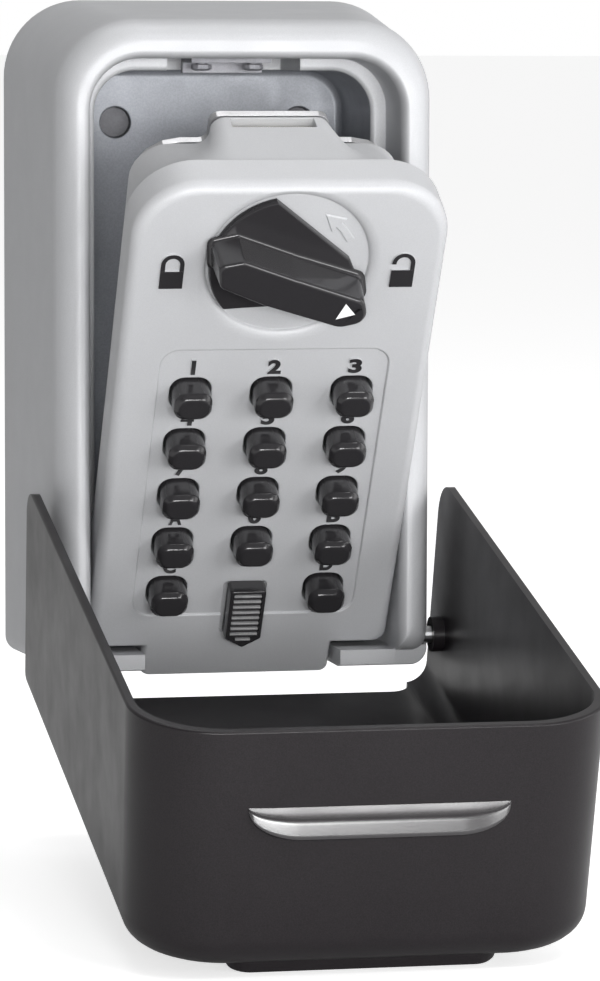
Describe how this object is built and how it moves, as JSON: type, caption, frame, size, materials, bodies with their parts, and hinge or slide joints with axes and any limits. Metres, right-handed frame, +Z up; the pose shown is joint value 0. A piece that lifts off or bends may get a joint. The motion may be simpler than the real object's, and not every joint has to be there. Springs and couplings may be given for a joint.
{
  "type": "key lock box",
  "caption": "Wall-mounted key safe: metal housing with a bottom-hinged push-button door, turn-knob latch and a swing-down plastic weather cover, shown open.",
  "frame": {"origin": "centre of the housing's flat back face", "axes": "+X to the right seen from the front, +Y into the wall, +Z up; the box stands open"},
  "size_m": [0.0896, 0.1814, 0.1788],
  "materials": {
    "silver_paint": "satin silver paint on die-cast metal",
    "black_plastic": "semi-gloss black",
    "charcoal_plastic": "fine-speckled satin charcoal",
    "nickel_steel": "nickel plated",
    "zinc_steel": "zinc plated",
    "white_ink": "matte white"
  },
  "bodies": {
    "housing": {"housing": "silver_paint", "latch_keeper": "zinc_steel", "keeper_screw_left": "zinc_steel", "keeper_screw_right": "zinc_steel", "cover_pivot_left": "zinc_steel", "cover_pivot_right": "zinc_steel"},
    "hinge_pin": {"door_hinge_pin": "zinc_steel"},
    "door": {"door_face": "silver_paint", "mechanism_case": "silver_paint", "mechanism_cover": "zinc_steel", "case_screw_1": "zinc_steel", "case_screw_2": "zinc_steel", "case_screw_3": "zinc_steel", "case_screw_4": "zinc_steel", "latch_spring": "zinc_steel", "slider_spring": "zinc_steel"},
    "cover": {"weather_cover": "charcoal_plastic"},
    "knob": {"knob": "black_plastic", "knob_pointer": "white_ink", "knob_spindle": "zinc_steel", "latch_cam": "nickel_steel"},
    "latch": {"latch_bolt": "nickel_steel"},
    "slider": {"clear_slider": "black_plastic", "code_slide": "zinc_steel"},
    "button_1": {"button_1": "black_plastic"},
    "button_2": {"button_2": "black_plastic"},
    "button_3": {"button_3": "black_plastic"},
    "button_4": {"button_4": "black_plastic"},
    "button_5": {"button_5": "black_plastic"},
    "button_6": {"button_6": "black_plastic"},
    "button_7": {"button_7": "black_plastic"},
    "button_8": {"button_8": "black_plastic"},
    "button_9": {"button_9": "black_plastic"},
    "button_a": {"button_a": "black_plastic"},
    "button_0": {"button_0": "black_plastic"},
    "button_b": {"button_b": "black_plastic"},
    "button_c": {"button_c": "black_plastic"},
    "button_d": {"button_d": "black_plastic"}
  },
  "joints": [
    {"name": "cover_hinge", "type": "hinge", "parent": "housing", "child": "cover", "pos_m": [0, -0.0445, -0.0629], "axis": [1, 0, 0], "range_deg": [-102.7, 0]},
    {"name": "pin_turn", "type": "hinge", "parent": "housing", "child": "hinge_pin", "pos_m": [0, -0.03744, -0.0553], "axis": [1, 0, 0], "range_deg": [-32.65, 0]},
    {"name": "door_hinge", "type": "hinge", "parent": "hinge_pin", "child": "door", "pos_m": [0, -0.03744, -0.0553], "axis": [-1, 0, 0], "range_deg": [0, 32.6]},
    {"name": "knob_turn", "type": "hinge", "parent": "door", "child": "knob", "pos_m": [0, -0.09165, 0.01722], "axis": [0, -0.8425, -0.5388], "range_deg": [0, 165.1]},
    {"name": "latch_slide", "type": "slide", "parent": "door", "child": "latch", "axis": [0, -0.5388, 0.8425], "range_m": [0, 0.00749]},
    {"name": "clear_slide", "type": "slide", "parent": "door", "child": "slider", "axis": [0, 0.5388, -0.8425], "range_m": [0, 0.004]},
    {"name": "press_1", "type": "slide", "parent": "door", "child": "button_1", "axis": [0, 0.8425, 0.5388], "range_m": [0, 0.002]},
    {"name": "press_2", "type": "slide", "parent": "door", "child": "button_2", "axis": [0, 0.8425, 0.5388], "range_m": [0, 0.002]},
    {"name": "press_3", "type": "slide", "parent": "door", "child": "button_3", "axis": [0, 0.8425, 0.5388], "range_m": [0, 0.002]},
    {"name": "press_4", "type": "slide", "parent": "door", "child": "button_4", "axis": [0, 0.8425, 0.5388], "range_m": [0, 0.002]},
    {"name": "press_5", "type": "slide", "parent": "door", "child": "button_5", "axis": [0, 0.8425, 0.5388], "range_m": [0, 0.002]},
    {"name": "press_6", "type": "slide", "parent": "door", "child": "button_6", "axis": [0, 0.8425, 0.5388], "range_m": [0, 0.002]},
    {"name": "press_7", "type": "slide", "parent": "door", "child": "button_7", "axis": [0, 0.8425, 0.5388], "range_m": [0, 0.002]},
    {"name": "press_8", "type": "slide", "parent": "door", "child": "button_8", "axis": [0, 0.8425, 0.5388], "range_m": [0, 0.002]},
    {"name": "press_9", "type": "slide", "parent": "door", "child": "button_9", "axis": [0, 0.8425, 0.5388], "range_m": [0, 0.002]},
    {"name": "press_a", "type": "slide", "parent": "door", "child": "button_a", "axis": [0, 0.8425, 0.5388], "range_m": [0, 0.002]},
    {"name": "press_0", "type": "slide", "parent": "door", "child": "button_0", "axis": [0, 0.8425, 0.5388], "range_m": [0, 0.002]},
    {"name": "press_b", "type": "slide", "parent": "door", "child": "button_b", "axis": [0, 0.8425, 0.5388], "range_m": [0, 0.002]},
    {"name": "press_c", "type": "slide", "parent": "door", "child": "button_c", "axis": [0, 0.8425, 0.5388], "range_m": [0, 0.002]},
    {"name": "press_d", "type": "slide", "parent": "door", "child": "button_d", "axis": [0, 0.8425, 0.5388], "range_m": [0, 0.002]}
  ],
  "couplings": [
    {"joint": "pin_turn", "follows": "cover_hinge", "ratio": 0.31743},
    {"joint": "knob_turn", "follows": "latch_slide", "rad_per_m": 384.23}
  ]
}
